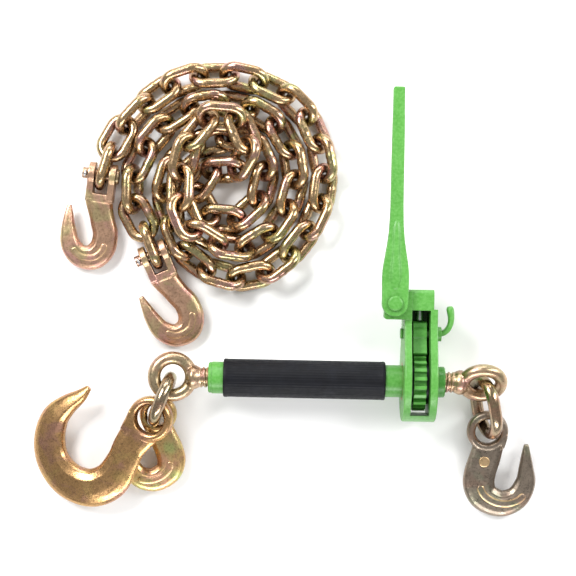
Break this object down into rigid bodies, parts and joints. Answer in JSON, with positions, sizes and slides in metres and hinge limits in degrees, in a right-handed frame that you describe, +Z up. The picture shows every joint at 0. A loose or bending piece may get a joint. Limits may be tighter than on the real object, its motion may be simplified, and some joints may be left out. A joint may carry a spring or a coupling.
{
  "type": "ratchet load binder with chain",
  "caption": "Folding-handle ratchet load binder with an eye screw, link and hooks at each end, lying beside a coiled transport chain with clevis grab hooks.",
  "frame": {"origin": "middle of the footprint of the laid-out set, on the surface it lies on", "axes": "+X along the barrel towards the ratchet end, +Y along the raised handle towards the chain coil, +Z up from the surface"},
  "size_m": [0.4948, 0.4427, 0.076],
  "materials": {
    "green_powder_coat": "bright green powder coat over forged steel, semi gloss, slightly worn edges",
    "dark_green_coat": "darker green powder coat on the collar, semi gloss",
    "black_rubber": "matt black moulded rubber with fine lengthwise ribs",
    "yellow_zinc_chain": "yellow chromate zinc plating with pink and green iridescence",
    "yellow_zinc_forging": "yellow chromate zinc over a forged, slightly pitted surface",
    "bronze_zinc_forging": "dark gold chromate zinc over a forged surface",
    "grey_zinc_forging": "grey bronze chromate zinc over a forged surface",
    "zinc_steel": "bright zinc plated steel",
    "spring_steel": "drawn spring wire, oiled",
    "bronze_bush": "sintered bronze bearing, oiled"
  },
  "bodies": {
    "binder": {"ratchet_housing": "green_powder_coat", "left_housing_bush": "bronze_bush", "right_housing_bush": "bronze_bush", "left_thrust_washer": "zinc_steel", "right_thrust_washer": "zinc_steel", "handle_bolt": "green_powder_coat", "handle_washer": "zinc_steel", "handle_nut": "zinc_steel", "plunger_plug": "zinc_steel", "plunger_spring": "spring_steel"},
    "barrel": {"barrel_tube": "green_powder_coat", "grip_sleeve": "black_rubber", "left_thread_bush": "green_powder_coat", "right_thread_bush": "dark_green_coat", "ratchet_gear": "green_powder_coat"},
    "left_screw": {"left_eye_screw": "yellow_zinc_forging", "left_stop_ring": "zinc_steel"},
    "right_screw": {"right_eye_screw": "yellow_zinc_forging", "right_stop_ring": "zinc_steel"},
    "left_link": {"left_link": "yellow_zinc_forging"},
    "slip_hook": {"slip_hook": "bronze_zinc_forging"},
    "left_grab_hook": {"left_grab_hook": "yellow_zinc_forging"},
    "right_link": {"right_link": "yellow_zinc_forging"},
    "right_grab_hook": {"right_grab_hook": "grey_zinc_forging"},
    "handle": {"handle": "green_powder_coat"},
    "pawl": {"pawl": "green_powder_coat", "pawl_pin": "green_powder_coat", "shift_lever": "green_powder_coat"},
    "plunger": {"plunger": "zinc_steel"},
    "chain": {"chain_links_01": "yellow_zinc_chain", "chain_links_02": "yellow_zinc_chain", "chain_links_03": "yellow_zinc_chain", "chain_links_04": "yellow_zinc_chain", "chain_links_05": "yellow_zinc_chain", "chain_links_06": "yellow_zinc_chain", "chain_links_07": "yellow_zinc_chain", "chain_links_08": "yellow_zinc_chain", "chain_links_09": "yellow_zinc_chain", "chain_links_10": "yellow_zinc_chain", "chain_links_11": "yellow_zinc_chain", "chain_links_12": "yellow_zinc_chain", "chain_links_13": "yellow_zinc_chain", "chain_links_14": "yellow_zinc_chain"},
    "clevis_hook_a": {"clevis_hook_a": "yellow_zinc_forging", "clevis_pin_a": "yellow_zinc_forging", "cotter_a": "zinc_steel"},
    "clevis_hook_b": {"clevis_hook_b": "yellow_zinc_forging", "clevis_pin_b": "yellow_zinc_forging", "cotter_b": "zinc_steel"}
  },
  "joints": [
    {"name": "barrel_turn", "type": "hinge", "parent": "binder", "child": "barrel", "pos_m": [0.002, -0.086, 0.038], "axis": [1, 0, 0], "range_deg": [-360, 6120]},
    {"name": "left_screw_slide", "type": "slide", "parent": "binder", "child": "left_screw", "axis": [-1, 0, 0], "range_m": [-0.00424, 0.07197]},
    {"name": "right_screw_slide", "type": "slide", "parent": "binder", "child": "right_screw", "axis": [1, 0, 0], "range_m": [-0.00424, 0.07197]},
    {"name": "handle_fold", "type": "hinge", "parent": "binder", "child": "handle", "pos_m": [0.1034, -0.0106, 0.06], "axis": [0, 0, -1], "range_deg": [-90, 0]},
    {"name": "pawl_flip", "type": "hinge", "parent": "binder", "child": "pawl", "pos_m": [0.002, -0.0397, 0.038], "axis": [1, 0, 0], "range_deg": [-12, 12]},
    {"name": "plunger_slide", "type": "slide", "parent": "binder", "child": "plunger", "axis": [0, 1, 0], "range_m": [0, 0.003], "stiffness_N_per_m": 500, "deforming": ["plunger_spring"]},
    {"name": "left_link_swing", "type": "hinge", "parent": "left_screw", "child": "left_link", "pos_m": [-0.1082, -0.086, 0.038], "axis": [0, 0, 1], "range_deg": [-20, 20]},
    {"name": "slip_hook_swing", "type": "hinge", "parent": "left_link", "child": "slip_hook", "pos_m": [-0.1289, -0.1276, 0.0363], "axis": [-0.2114, -0.0841, 0.9738], "range_deg": [-35, 0]},
    {"name": "left_grab_swing", "type": "hinge", "parent": "left_link", "child": "left_grab_hook", "pos_m": [-0.1229, -0.1239, 0.019], "axis": [0.0267, -0.1684, 0.9854], "range_deg": [0, 45]},
    {"name": "right_link_swing", "type": "hinge", "parent": "right_screw", "child": "right_link", "pos_m": [0.1916, -0.086, 0.038], "axis": [0, 0, 1], "range_deg": [-8, 8]},
    {"name": "right_grab_swing", "type": "hinge", "parent": "right_link", "child": "right_grab_hook", "pos_m": [0.1998, -0.1342, 0.018], "axis": [0, -0.1404, 0.9901], "range_deg": [-30, 30]},
    {"name": "chain_lift", "type": "slide", "parent": "binder", "child": "chain", "axis": [0, 0, 1], "range_m": [0, 0.06]},
    {"name": "hook_a_swing", "type": "hinge", "parent": "chain", "child": "clevis_hook_a", "pos_m": [-0.1822, 0.10873, 0.01712], "axis": [-0.9925, 0.1219, 0], "range_deg": [0, 60]},
    {"name": "hook_b_swing", "type": "hinge", "parent": "chain", "child": "clevis_hook_b", "pos_m": [-0.13011, 0.03215, 0.01712], "axis": [-0.9135, -0.4067, 0], "range_deg": [0, 60]}
  ],
  "couplings": [
    {"joint": "left_screw_slide", "follows": "barrel_turn", "m_per_rad": 0.0006737},
    {"joint": "right_screw_slide", "follows": "barrel_turn", "m_per_rad": 0.0006737}
  ]
}
